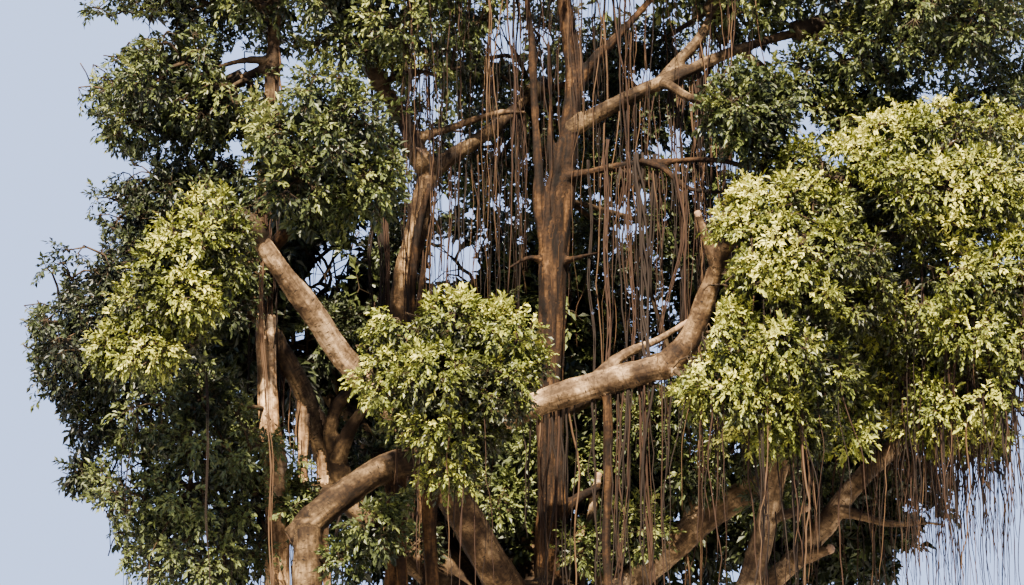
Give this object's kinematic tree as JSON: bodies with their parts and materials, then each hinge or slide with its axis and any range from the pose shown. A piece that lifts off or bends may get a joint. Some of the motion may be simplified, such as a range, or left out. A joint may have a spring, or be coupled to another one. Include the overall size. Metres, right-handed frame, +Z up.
{
  "type": "banyan tree",
  "caption": "Whole banyan tree: fluted trunk forking into many leaders and boughs, prop roots that reach the ground, and separate leafy crown masses.",
  "frame": {"origin": "centre of the flat cut under the trunk, at ground level", "axes": "+Z up the trunk, +X to the right in the front view, the front of the tree facing -Y"},
  "size_m": [11.5232, 8.7328, 11.3153],
  "materials": {
    "bark": "smooth grey-brown bark",
    "root_bark": "stringy brown root bark",
    "leaves_sunlit": "glossy yellow-green leaves",
    "leaves_green": "glossy mid-green leaves",
    "leaves_shade": "dark green leaves"
  },
  "bodies": {
    "root": {"trunk": "bark", "front_leader": "bark", "left_front_bough": "bark", "right_front_bough": "bark", "right_front_riser": "bark", "low_left_bough": "bark", "left_leader": "bark", "left_high_leader": "bark", "left_inner_branch": "bark", "left_shoulder_bough": "bark", "left_high_bough": "bark", "left_outer_bough": "bark", "left_low_bough": "bark", "centre_left_leader": "bark", "centre_left_high": "bark", "centre_left_side": "bark", "central_leader": "bark", "right_high_bough": "bark", "top_right_mid_bough": "bark", "centre_right_bough": "bark", "right_shoulder_bough": "bark", "right_upper_bough": "bark", "right_low_limb": "bark", "right_bough": "bark", "right_end_bough": "bark", "right_back_bough": "bark", "back_low_right_bough": "bark", "back_left_leader": "bark", "back_centre_leader": "bark", "back_low_bough": "bark", "low_left_prop_root": "root_bark", "left_prop_root": "root_bark", "front_prop_root": "root_bark", "right_prop_root": "root_bark", "front_left": "leaves_sunlit", "front_centre": "leaves_sunlit", "right_left": "leaves_sunlit", "right_low": "leaves_sunlit", "right_outer": "leaves_sunlit", "right_upper": "leaves_sunlit", "centre_right": "leaves_green", "left_middle": "leaves_green", "left_high": "leaves_green", "top_left": "leaves_green", "top_centre_left": "leaves_green", "top_centre": "leaves_green", "top_right_mid": "leaves_green", "top_right": "leaves_green", "left_outer": "leaves_shade", "left_low": "leaves_shade", "left_shoulder": "leaves_shade", "right_shoulder": "leaves_shade", "right_end": "leaves_shade", "back_high": "leaves_shade", "back_left": "leaves_shade", "back_centre": "leaves_shade", "back_right": "leaves_shade", "back_low": "leaves_shade", "back_low_right": "leaves_shade"}
  },
  "joints": []
}
